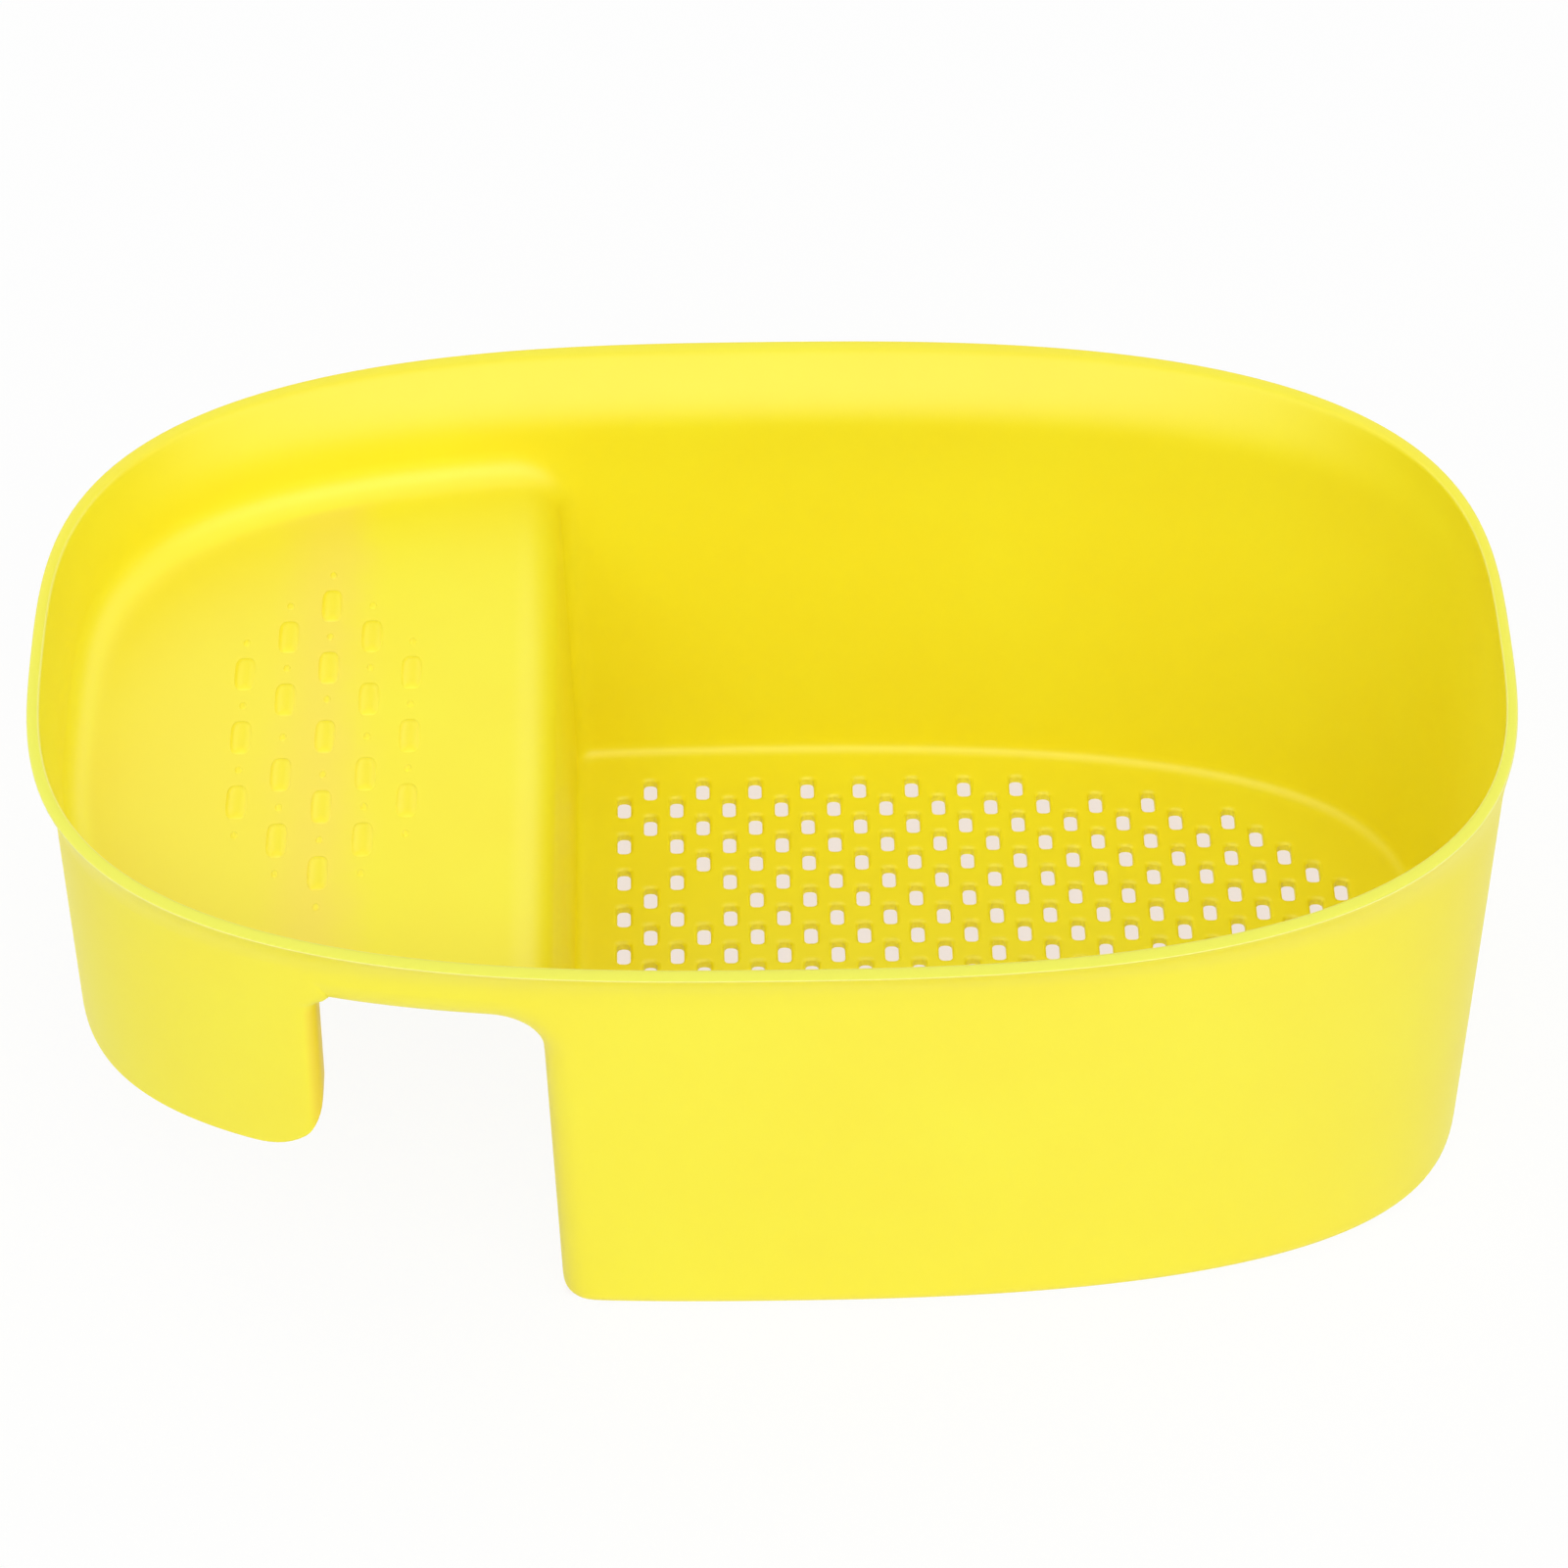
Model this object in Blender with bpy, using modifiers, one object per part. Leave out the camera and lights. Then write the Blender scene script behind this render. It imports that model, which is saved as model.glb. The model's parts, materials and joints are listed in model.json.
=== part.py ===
"""Sink drain basket that hooks over the divider of a double sink.

The real basket is one polypropylene moulding. Here it is laid out as its regions: the flared rim
band, the soap shelf, the saddle leg, the step wall, the basket wall and the strainer floor.
Depths are measured down from the rim. X runs from the shelf to the basket, +Z is up.
"""

import math

import bmesh
import bpy

# Overall size, in metres
RIM_LENGTH = 0.300
RIM_WIDTH = 0.1966
HEIGHT = 0.106
WALL = 0.0017
PARTING_GAP = 0.0003

# How far each end and side of the outer face draws in from the rim to the foot of the flare
FLARE_DEPTH = 0.0103
FLARE_SHELF_END = 0.0042
FLARE_BASKET_END = 0.0016
FLARE_SIDE = 0.0109

# How much further it draws in from the foot of the flare to the base
DRAFT_SHELF_END = 0.0039
DRAFT_BASKET_END = 0.0048
DRAFT_SIDE = 0.0029

# Powers of the superellipse |x/a|^n + |y/b|^m = 1 at the rim, the flare's foot and the base
RIM_POWERS = (2.7, 3.0)
FOOT_POWERS = (2.7, 3.4)
BASE_POWERS = (2.45, 4.1)

# Rim band and soap shelf
BAND_DEPTH = 0.0190
SHELF_DEPTH = 0.0240
SHELF_THICKNESS = 0.0020
SHELF_FILLET = 0.0040

# Saddle: the leg, the slot that the sink's divider fills, and the step down to the basket
LEG_LENGTH = 0.0596
LEG_DROP = 0.0410
LEG_EDGE_CURL = 0.0030
LEG_LIP = 0.0050
LEG_CORNER = 0.0080
SLOT_WIDTH = 0.0444
STEP_BEND_UNDER = 0.0090
STEP_BEND_OVER = 0.0100
STEP_DRAFT = 0.03
CORNER_RADIUS = 0.0080
SLOT_EDGE_RADIUS = 0.0025

# Basket floor and its drain holes
FLOOR_THICKNESS = 0.0020
BOTTOM_FILLET = 0.0033
INSIDE_FILLET = 0.0035
TOE = 0.0062
HOLE_PITCH = 0.011578
HOLE_WIDTH = 0.0031
HOLE_LENGTH = 0.0058
HOLE_FLARE = 0.0004
FIRST_HOLE_FROM_STEP = 0.0100
FIELD_MARGIN_END = 0.0099
FIELD_MARGIN_SIDE = 0.0118
FIELD_POWERS = (2.9, 3.8)
BLANK_HOLES = ((1, 8), (3, 6))
HOLE_CORNERS = ((1, 1), (-1, 1), (-1, -1), (1, -1))

# Raised bars and dots on the shelf
PIP_COLUMN_PITCH = 0.00862
PIP_ROW_PITCH = 0.00978
PIP_CENTRE_EXTRA = 0.0017
PIP_FROM_SHELF_END = 0.05855
PIP_ROWS = (5, 4, 3)
BAR_WIDTH = 0.0040
BAR_LENGTH = 0.0100
BAR_HEIGHT = 0.0009
BAR_ROUNDING = 0.0005
DOT_DIAMETER = 0.0015
DOT_HEIGHT = 0.0006

# Facets
OVAL_SIDES = 80
BASKET_SIDES = 52
LEG_SIDES = 40
CORNER_STEPS = 5
BEND_STEPS = 5
FILLET_STEPS = 3

SHELF_UNDERSIDE = SHELF_DEPTH + SHELF_THICKNESS
LEG_EDGE_X = -RIM_LENGTH / 2 + LEG_LENGTH
STEP_X = LEG_EDGE_X + SLOT_WIDTH
SHELF_END_X = STEP_X - STEP_BEND_UNDER
PAST = 0.010  # how far a cutter reaches beyond what it cuts
COLOUR = (0.93, 0.68, 0.013, 1.0)
ROUGHNESS = 0.38


def clear_scene():
    for obj in list(bpy.data.objects):
        bpy.data.objects.remove(obj, do_unlink=True)


def new_collection(name, hidden=False):
    collection = bpy.data.collections.new(name)
    bpy.context.scene.collection.children.link(collection)
    collection.hide_render = hidden
    return collection


def between(low, high, share):
    return low + (high - low) * share


def section(depth, inset=0.0):
    """Shelf end, basket end and side half-sizes, and the two powers, of the outer face at a depth."""
    if depth <= FLARE_DEPTH:
        flare, draft = depth / FLARE_DEPTH, 0.0
        powers = [between(a, b, flare) for a, b in zip(RIM_POWERS, FOOT_POWERS)]
    else:
        flare, draft = 1.0, (depth - FLARE_DEPTH) / (HEIGHT - FLARE_DEPTH)
        powers = [between(a, b, draft) for a, b in zip(FOOT_POWERS, BASE_POWERS)]
    shelf_end = RIM_LENGTH / 2 - FLARE_SHELF_END * flare - DRAFT_SHELF_END * draft - inset
    basket_end = RIM_LENGTH / 2 - FLARE_BASKET_END * flare - DRAFT_BASKET_END * draft - inset
    side = RIM_WIDTH / 2 - FLARE_SIDE * flare - DRAFT_SIDE * draft - inset
    return shelf_end, basket_end, side, powers[0], powers[1]


def oval_point(shape, angle):
    shelf_end, basket_end, side, n, m = shape
    c, s = math.cos(angle), math.sin(angle)
    half = basket_end if c >= 0 else shelf_end
    return (
        math.copysign(half * abs(c) ** (2 / n), c),
        math.copysign(side * abs(s) ** (2 / m), s),
    )


def oval_normal(shape, x, y):
    """Outward unit normal of the superellipse at a point on it."""
    shelf_end, basket_end, side, n, m = shape
    half = basket_end if x >= 0 else shelf_end
    nx = math.copysign(n / half * abs(x / half) ** (n - 1), x)
    ny = math.copysign(m / side * abs(y / side) ** (m - 1), y)
    size = math.hypot(nx, ny)
    return nx / size, ny / size


def oval_ring(depth, inset=0.0):
    shape = section(depth, inset)
    z = HEIGHT - depth
    return [(*oval_point(shape, 2 * math.pi * i / OVAL_SIDES), z) for i in range(OVAL_SIDES)]


def fillet_on_oval(shape, line_x, radius, keep):
    """Where a fillet joins the oval's +Y half to the line x = line_x, keeping the side +1 or -1 of it.

    Returns the oval's angle at the tangent point and the fillet's centre.
    """
    low, high = (0.0, math.pi) if keep > 0 else (math.pi, 0.0)
    for _ in range(50):
        angle = (low + high) / 2
        x, y = oval_point(shape, angle)
        nx, ny = oval_normal(shape, x, y)
        centre = (x - radius * nx, y - radius * ny)
        if keep * (centre[0] - line_x) > radius:
            low = angle
        else:
            high = angle
    return angle, centre


def fillet_arc(shape, line_x, radius, keep):
    """The fillet's points in the +Y half, from the oval to the line, and the oval's angle there."""
    angle, (cx, cy) = fillet_on_oval(shape, line_x, radius, keep)
    x, y = oval_point(shape, angle)
    start = math.atan2(y - cy, x - cx)
    end = math.pi if keep > 0 else 0.0
    turns = [between(start, end, i / CORNER_STEPS) for i in range(CORNER_STEPS + 1)]
    return angle, [(cx + radius * math.cos(t), cy + radius * math.sin(t)) for t in turns]


def basket_ring(depth, inset, step_x, corner):
    """The basket's section: the oval cut off by the step at step_x, with rounded corners."""
    shape = section(depth, inset)
    z = HEIGHT - depth
    angle, arc = fillet_arc(shape, step_x, corner, keep=1)
    oval = [
        oval_point(shape, between(-angle, angle, i / BASKET_SIDES))
        for i in range(1, BASKET_SIDES)
    ]
    back = [(x, -y) for x, y in reversed(arc)]
    return [(x, y, z) for x, y in oval + arc + back]


def leg_path(depth):
    """The leg's outer face in plan, from one lip round the shelf's end to the other."""
    shape = section(depth)
    z = HEIGHT - depth
    angle, arc = fillet_arc(shape, LEG_EDGE_X, LEG_EDGE_CURL, keep=-1)
    lip = (LEG_EDGE_X, arc[-1][1] - LEG_LIP)
    upper = [lip, *reversed(arc)]
    oval = [
        oval_point(shape, between(angle, 2 * math.pi - angle, i / LEG_SIDES))
        for i in range(1, LEG_SIDES)
    ]
    lower = [(x, -y) for x, y in reversed(upper)]
    return [(x, y, z) for x, y in upper + oval + lower]


def new_object(name, bm, collection, cutter=False):
    bmesh.ops.recalc_face_normals(bm, faces=bm.faces)
    mesh = bpy.data.meshes.new(name)
    bm.to_mesh(mesh)
    bm.free()
    obj = bpy.data.objects.new(name, mesh)
    collection.objects.link(obj)
    if cutter:
        obj.hide_render = True
        obj.display_type = "WIRE"
    else:
        mesh.materials.append(plastic(name))
        mesh.shade_smooth()
        mesh.set_sharp_from_angle(angle=math.radians(30))
    return obj


def plastic(name):
    """Satin yellow polypropylene."""
    material = bpy.data.materials.new(name + "_polypropylene")
    material.use_nodes = True
    shader = material.node_tree.nodes["Principled BSDF"]
    shader.inputs["Base Color"].default_value = COLOUR
    shader.inputs["Roughness"].default_value = ROUGHNESS
    shader.inputs["Metallic"].default_value = 0.0
    material.diffuse_color = COLOUR
    return material


def skin(bm, rings, closed=True):
    """Faces between rings that have the same number of points. It returns the rings' vertices."""
    loops = [[bm.verts.new(point) for point in ring] for ring in rings]
    count = len(rings[0])
    for upper, lower in zip(loops, loops[1:]):
        for i in range(count if closed else count - 1):
            j = (i + 1) % count
            bm.faces.new((upper[i], upper[j], lower[j], lower[i]))
    return loops


def loft(name, rings, collection, cutter=False):
    """A closed solid through a stack of rings."""
    bm = bmesh.new()
    loops = skin(bm, rings)
    bm.faces.new(loops[0])
    bm.faces.new(loops[-1])
    return new_object(name, bm, collection, cutter)


def box(name, low, high, collection):
    bm = bmesh.new()
    bmesh.ops.create_cube(bm, size=1.0)
    for vert in bm.verts:
        vert.co = [between(a, b, c + 0.5) for a, b, c in zip(low, high, vert.co)]
    return new_object(name, bm, collection, cutter=True)


def boolean(obj, operation, other):
    modifier = obj.modifiers.new(other.name, "BOOLEAN")
    modifier.operation = operation
    modifier.solver = "EXACT"
    modifier.object = other


def fillet_stops(radius):
    """(inset, rise above the flat) down a quarter-round, from the wall to the flat."""
    turns = [math.pi / 2 * i / FILLET_STEPS for i in range(FILLET_STEPS + 1)]
    return [(radius * (1 - math.cos(t)), radius * (1 - math.sin(t))) for t in turns]


def step_face(depth, wall=0.0):
    """X of the step's face towards the slot at a depth below its bend; wall gives the inner face."""
    return STEP_X + wall + STEP_DRAFT * (depth - SHELF_UNDERSIDE - STEP_BEND_UNDER)


def bend_stops(radius, top, end_x):
    """(depth, x, share of the turn) along the quarter-round from the shelf into the step."""
    turns = [math.pi / 2 * i / BEND_STEPS for i in range(BEND_STEPS + 1)]
    return [
        (top + radius * (1 - math.cos(t)), end_x - radius * (1 - math.sin(t)), t / (math.pi / 2))
        for t in turns
    ]


def basket_outside(name, collection):
    """The basket's outer form, from just under the rim band to the base."""
    past_shelf = SHELF_END_X - PAST
    nearly = SHELF_UNDERSIDE - SHELF_THICKNESS / 8
    rings = [
        basket_ring(BAND_DEPTH + PARTING_GAP, 0.0, past_shelf, SLOT_EDGE_RADIUS),
        basket_ring(nearly, 0.0, past_shelf, SLOT_EDGE_RADIUS),
    ]
    for depth, x, share in bend_stops(STEP_BEND_UNDER, SHELF_UNDERSIDE, STEP_X):
        rings.append(basket_ring(depth, 0.0, x, between(SLOT_EDGE_RADIUS, CORNER_RADIUS, share)))
    for inset, rise in fillet_stops(BOTTOM_FILLET):
        depth = HEIGHT - rise
        rings.append(basket_ring(depth, inset, step_face(depth) + inset, CORNER_RADIUS - inset / 2))
    return loft(name, rings, collection)


def basket_cavity(collection):
    """The inside of the basket, open upwards, with the shelf's bend and the floor's fillet."""
    past_shelf = SHELF_END_X - PAST
    nearly = SHELF_DEPTH - SHELF_THICKNESS / 8
    inner_corner = CORNER_RADIUS - WALL
    inner_x = STEP_X + WALL
    rings = [
        basket_ring(BAND_DEPTH - PAST / 2, WALL, past_shelf, SLOT_EDGE_RADIUS),
        basket_ring(nearly, WALL, past_shelf, SLOT_EDGE_RADIUS),
    ]
    for depth, x, share in bend_stops(STEP_BEND_OVER, SHELF_DEPTH, inner_x):
        rings.append(basket_ring(depth, WALL, x, between(SHELF_FILLET, inner_corner, share)))
    for inset, rise in fillet_stops(INSIDE_FILLET):
        depth = HEIGHT - FLOOR_THICKNESS - rise
        step_x = step_face(depth, WALL) + inset
        rings.append(basket_ring(depth, WALL + inset, step_x, inner_corner - inset / 2))
    return loft("basket_cavity", rings, collection, cutter=True)


def floor_rings(inset, top_depth, bottom_depth):
    corner = CORNER_RADIUS - TOE / 2
    return [
        basket_ring(depth, inset, step_face(HEIGHT) + inset, corner)
        for depth in (top_depth, bottom_depth)
    ]


def rim_band(parts):
    """The flared band: a ring with flat upper and lower edges."""
    depths = (0.0, FLARE_DEPTH, BAND_DEPTH)
    outer = [oval_ring(depth) for depth in depths]
    inner = [oval_ring(depth, WALL) for depth in reversed(depths)]
    bm = bmesh.new()
    loops = skin(bm, outer + inner)
    first, last = loops[0], loops[-1]
    for i in range(OVAL_SIDES):
        j = (i + 1) % OVAL_SIDES
        bm.faces.new((last[i], last[j], first[j], first[i]))
    return new_object("rim_band", bm, parts)


def shelf_cavity(collection):
    rings = [oval_ring(BAND_DEPTH - PAST / 2, WALL)]
    for inset, rise in fillet_stops(SHELF_FILLET):
        rings.append(oval_ring(SHELF_DEPTH - rise, WALL + inset))
    return loft("shelf_cavity", rings, collection, cutter=True)


def add_bar(bm, x, y, z):
    """A low bar with rounded corners and a rounded top, sunk a little into the shelf."""
    made = bmesh.ops.create_cube(bm, size=1.0)["verts"]
    height = BAR_HEIGHT + SHELF_THICKNESS / 2
    for vert in made:
        vert.co.x = x + vert.co.x * BAR_WIDTH
        vert.co.y = y + vert.co.y * BAR_LENGTH
        vert.co.z = z + BAR_HEIGHT - height / 2 + vert.co.z * height
    upright = [
        e for e in {edge for vert in made for edge in vert.link_edges}
        if abs(e.verts[0].co.z - e.verts[1].co.z) > height / 2
    ]
    bmesh.ops.bevel(bm, geom=upright, offset=BAR_WIDTH / 3, segments=2, affect="EDGES", profile=0.5)
    top = [f for f in bm.faces if f.calc_center_median().z > z + BAR_HEIGHT * 0.99
           and abs(f.calc_center_median().x - x) < BAR_WIDTH / 2
           and abs(f.calc_center_median().y - y) < BAR_LENGTH / 2]
    rim = list({edge for face in top for edge in face.edges})
    bmesh.ops.bevel(bm, geom=rim, offset=BAR_ROUNDING, segments=1, affect="EDGES", profile=0.5)


def add_dot(bm, x, y, z):
    depth = DOT_HEIGHT + SHELF_THICKNESS / 2
    made = bmesh.ops.create_cone(
        bm, cap_ends=True, segments=8, radius1=DOT_DIAMETER / 2, radius2=DOT_DIAMETER / 3, depth=depth
    )["verts"]
    bmesh.ops.translate(bm, verts=made, vec=(x, y, z + DOT_HEIGHT - depth / 2))


def shelf_pips(collection):
    """Bars and dots that alternate along each column and from one column to the next."""
    bm = bmesh.new()
    centre_x = -RIM_LENGTH / 2 + PIP_FROM_SHELF_END
    z = HEIGHT - SHELF_DEPTH
    last = len(PIP_ROWS) - 1
    for column in range(-last, last + 1):
        rows = PIP_ROWS[abs(column)]
        extra = 0.0 if abs(column) == last else PIP_CENTRE_EXTRA
        x = centre_x + column * PIP_COLUMN_PITCH
        for row in range(-rows, rows + 1):
            y = row * PIP_ROW_PITCH + (extra if row > 0 else -extra if row < 0 else 0.0)
            add = add_bar if (row + column) % 2 == 0 else add_dot
            add(bm, x, y, z)
    return new_object("shelf_pips", bm, collection, cutter=True)


def leg_root(collection):
    """Where the wall runs on down into the leg, the shelf's lower edge isn't rounded off."""
    depths = (SHELF_UNDERSIDE - SLOT_EDGE_RADIUS, SHELF_UNDERSIDE)
    obj = loft("leg_root", [oval_ring(depth) for depth in depths], collection, cutter=True)
    low = (-RIM_LENGTH, -RIM_WIDTH, -PAST)
    region = box("leg_root_region", low, (LEG_EDGE_X, RIM_WIDTH, HEIGHT + PAST), collection)
    boolean(obj, "INTERSECT", region)
    return obj


def soap_shelf(parts, cutters):
    """The tray at the left end: its floor, its upturned edge, and the pips."""
    rings = [oval_ring(BAND_DEPTH + PARTING_GAP)]
    rings += [oval_ring(SHELF_UNDERSIDE - rise, inset) for inset, rise in fillet_stops(SLOT_EDGE_RADIUS)]
    obj = loft("soap_shelf", rings, parts)
    boolean(obj, "UNION", leg_root(cutters))
    boolean(obj, "DIFFERENCE", shelf_cavity(cutters))
    beyond = box(
        "beyond_shelf",
        (SHELF_END_X - PARTING_GAP / 2, -RIM_WIDTH, -PAST),
        (RIM_LENGTH, RIM_WIDTH, HEIGHT + PAST),
        cutters,
    )
    boolean(obj, "DIFFERENCE", beyond)
    boolean(obj, "UNION", shelf_pips(cutters))
    return obj


def leg_corner_cutter(collection):
    """What rounds off the two lower corners of the leg, seen from the front."""
    bottom = HEIGHT - SHELF_UNDERSIDE - LEG_DROP
    centre_x, centre_z = LEG_EDGE_X - LEG_CORNER, bottom + LEG_CORNER
    turns = [-math.pi / 2 * i / CORNER_STEPS for i in range(CORNER_STEPS + 1)]
    profile = [(centre_x + LEG_CORNER * math.cos(t), centre_z + LEG_CORNER * math.sin(t)) for t in turns]
    profile += [(centre_x, bottom - PAST), (LEG_EDGE_X + PAST, bottom - PAST), (LEG_EDGE_X + PAST, centre_z)]
    rings = [[(x, y, z) for x, z in profile] for y in (-RIM_WIDTH, RIM_WIDTH)]
    return loft("leg_corner_cutter", rings, collection, cutter=True)


def saddle_leg(parts, cutters):
    """An open skirt round the shelf's end, with its edges curled in to short lips."""
    top = SHELF_UNDERSIDE + PARTING_GAP
    bm = bmesh.new()
    skin(bm, [leg_path(top), leg_path(SHELF_UNDERSIDE + LEG_DROP)], closed=False)
    obj = new_object("saddle_leg", bm, parts)
    outward = obj.data.polygons[len(obj.data.polygons) // 2].normal.x < 0
    shell = obj.modifiers.new("wall", "SOLIDIFY")
    shell.thickness = WALL
    shell.offset = -1.0 if outward else 1.0
    shell.use_even_offset = True
    boolean(obj, "DIFFERENCE", leg_corner_cutter(cutters))
    return obj


def basket_walls(parts, cutters):
    """The step wall with its bend, and the wall round the rest of the basket."""
    cavity = basket_cavity(cutters)
    opening = loft(
        "floor_opening",
        floor_rings(TOE, HEIGHT - FLOOR_THICKNESS - PAST / 2, HEIGHT + PAST),
        cutters,
        cutter=True,
    )
    split_x = step_face(HEIGHT) + CORNER_RADIUS
    regions = {
        "step_wall": (SHELF_END_X + PARTING_GAP / 2, split_x - PARTING_GAP / 2),
        "basket_wall": (split_x + PARTING_GAP / 2, RIM_LENGTH),
    }
    for name, (low_x, high_x) in regions.items():
        obj = basket_outside(name, parts)
        boolean(obj, "DIFFERENCE", cavity)
        boolean(obj, "DIFFERENCE", opening)
        region = box(
            name + "_region",
            (low_x, -RIM_WIDTH, -PAST),
            (high_x, RIM_WIDTH, HEIGHT + PAST),
            cutters,
        )
        boolean(obj, "INTERSECT", region)


def drain_holes(collection):
    """Tapered slots on a staggered grid, as far out as the rounded field's edge."""
    half_pitch = HOLE_PITCH / 2
    _, basket_end, side, _, _ = section(HEIGHT, WALL)
    field_end, field_side = basket_end - FIELD_MARGIN_END, side - FIELD_MARGIN_SIDE
    first_x = step_face(HEIGHT, WALL) + FIRST_HOLE_FROM_STEP
    columns = int((field_end - first_x) / half_pitch) + 1
    rows = int(field_side / half_pitch)
    reach = FLOOR_THICKNESS / 4
    bm = bmesh.new()
    for column in range(columns):
        for row in range(-rows, rows + 1):
            if (column + row) % 2 == 0 or (column, row) in BLANK_HOLES:
                continue
            x, y = first_x + column * half_pitch, row * half_pitch
            edge = abs(x / field_end) ** FIELD_POWERS[0] + abs(y / field_side) ** FIELD_POWERS[1]
            if edge > 1.0:
                continue
            rings = []
            for z, wider in ((FLOOR_THICKNESS + reach, HOLE_FLARE * 2), (-reach, 0.0)):
                half_x, half_y = (HOLE_WIDTH + wider) / 2, (HOLE_LENGTH + wider) / 2
                rings.append([(x + i * half_x, y + j * half_y, z) for i, j in HOLE_CORNERS])
            loops = skin(bm, rings)
            bm.faces.new(loops[0])
            bm.faces.new(loops[-1])
    return new_object("drain_holes", bm, collection, cutter=True)


def strainer_floor(parts, cutters):
    rings = floor_rings(TOE + PARTING_GAP, HEIGHT - FLOOR_THICKNESS, HEIGHT)
    obj = loft("strainer_floor", rings, parts)
    boolean(obj, "DIFFERENCE", drain_holes(cutters))
    return obj


def main():
    clear_scene()
    parts = new_collection("sink_drain_basket")
    cutters = new_collection("cutters", hidden=True)
    rim_band(parts)
    soap_shelf(parts, cutters)
    saddle_leg(parts, cutters)
    basket_walls(parts, cutters)
    strainer_floor(parts, cutters)


main()
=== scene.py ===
import json
import math

import bpy
from mathutils import Matrix, Vector

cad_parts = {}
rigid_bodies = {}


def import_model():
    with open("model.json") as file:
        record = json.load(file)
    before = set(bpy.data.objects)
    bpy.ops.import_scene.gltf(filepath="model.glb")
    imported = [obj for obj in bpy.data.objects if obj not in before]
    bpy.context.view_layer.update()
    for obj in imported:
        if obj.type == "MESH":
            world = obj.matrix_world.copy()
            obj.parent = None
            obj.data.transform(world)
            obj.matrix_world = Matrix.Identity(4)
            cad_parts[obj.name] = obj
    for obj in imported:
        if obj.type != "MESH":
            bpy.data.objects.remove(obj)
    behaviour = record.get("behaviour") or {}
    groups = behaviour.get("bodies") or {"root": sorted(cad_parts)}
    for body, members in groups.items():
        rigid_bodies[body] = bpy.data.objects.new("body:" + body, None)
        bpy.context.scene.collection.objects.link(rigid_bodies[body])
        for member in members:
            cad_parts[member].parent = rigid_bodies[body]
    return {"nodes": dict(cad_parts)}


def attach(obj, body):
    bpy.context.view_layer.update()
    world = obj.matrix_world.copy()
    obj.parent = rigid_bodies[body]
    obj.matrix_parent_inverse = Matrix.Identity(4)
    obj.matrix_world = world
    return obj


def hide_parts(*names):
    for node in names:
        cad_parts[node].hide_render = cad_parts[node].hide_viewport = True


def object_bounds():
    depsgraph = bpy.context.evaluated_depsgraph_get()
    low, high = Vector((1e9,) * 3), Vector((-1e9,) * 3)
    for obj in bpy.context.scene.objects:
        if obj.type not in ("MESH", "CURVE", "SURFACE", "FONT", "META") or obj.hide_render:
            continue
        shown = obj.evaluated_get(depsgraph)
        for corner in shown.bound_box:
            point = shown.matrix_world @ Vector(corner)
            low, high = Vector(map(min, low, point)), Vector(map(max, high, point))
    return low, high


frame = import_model()
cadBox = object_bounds()
mm = 0.001
roundMiddle = 0.3  # how far a rounding's middle stands in from its corner, as a share of its radius
halfLength = (cadBox[1].x - cadBox[0].x) / 2 / mm
halfWidth = (cadBox[1].y - cadBox[0].y) / 2 / mm
height = (cadBox[1].z - cadBox[0].z) / mm
print("frame loaded:", len(frame["nodes"]), "nodes")


# Small helpers for edit mode and objects

def pickNothing():
    if bpy.context.object and bpy.context.object.mode == "EDIT":
        bpy.ops.object.mode_set(mode="OBJECT")
    bpy.ops.object.select_all(action="DESELECT")


def pickOnly(*objects):
    pickNothing()
    for obj in objects:
        obj.select_set(True)
    bpy.context.view_layer.objects.active = objects[0]


def joinAll(name, objects):
    pickOnly(*objects)
    if len(objects) > 1:
        bpy.ops.object.join()
    joined = bpy.context.object
    joined.name = joined.data.name = name
    return joined


def applyModifier(obj, kind, **settings):
    pickOnly(obj)
    modifier = obj.modifiers.new(kind.title(), kind)
    for key, value in settings.items():
        setattr(modifier, key, value)
    bpy.ops.object.modifier_apply(modifier=modifier.name)


def mergeDoubles(obj, distance=0.02):
    pickOnly(obj)
    bpy.ops.object.mode_set(mode="EDIT")
    bpy.ops.mesh.select_all(action="SELECT")
    bpy.ops.mesh.remove_doubles(threshold=distance * mm)
    bpy.ops.object.mode_set(mode="OBJECT")


def faceOut(obj):
    pickOnly(obj)
    bpy.ops.object.mode_set(mode="EDIT")
    bpy.ops.mesh.select_all(action="SELECT")
    bpy.ops.mesh.normals_make_consistent(inside=False)
    bpy.ops.object.mode_set(mode="OBJECT")


def fillHoles(obj):  # closes every open loop, each of which lies in one plane
    pickOnly(obj)
    bpy.ops.object.mode_set(mode="EDIT")
    bpy.ops.mesh.select_mode(type="EDGE")
    bpy.ops.mesh.select_all(action="DESELECT")
    bpy.ops.mesh.select_non_manifold()
    bpy.ops.mesh.edge_face_add()
    bpy.ops.mesh.select_mode(type="VERT")
    bpy.ops.object.mode_set(mode="OBJECT")


def layGrid(name, columns, rows, place):
    # A grid whose point (column, row) is put at place(column, row), given in millimetres
    pickNothing()
    bpy.ops.mesh.primitive_grid_add(x_subdivisions=columns, y_subdivisions=rows, size=2)
    grid = bpy.context.object
    grid.name = name
    for vertex in grid.data.vertices:
        column = round((vertex.co.x + 1) / 2 * columns)
        row = round((vertex.co.y + 1) / 2 * rows)
        vertex.co = Vector(place(column, row)) * mm
    return grid


def between(low, high, share):
    return low + (high - low) * share


# The wall's shape in plan: a superellipse that flares near the rim and has a draft below

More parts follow.
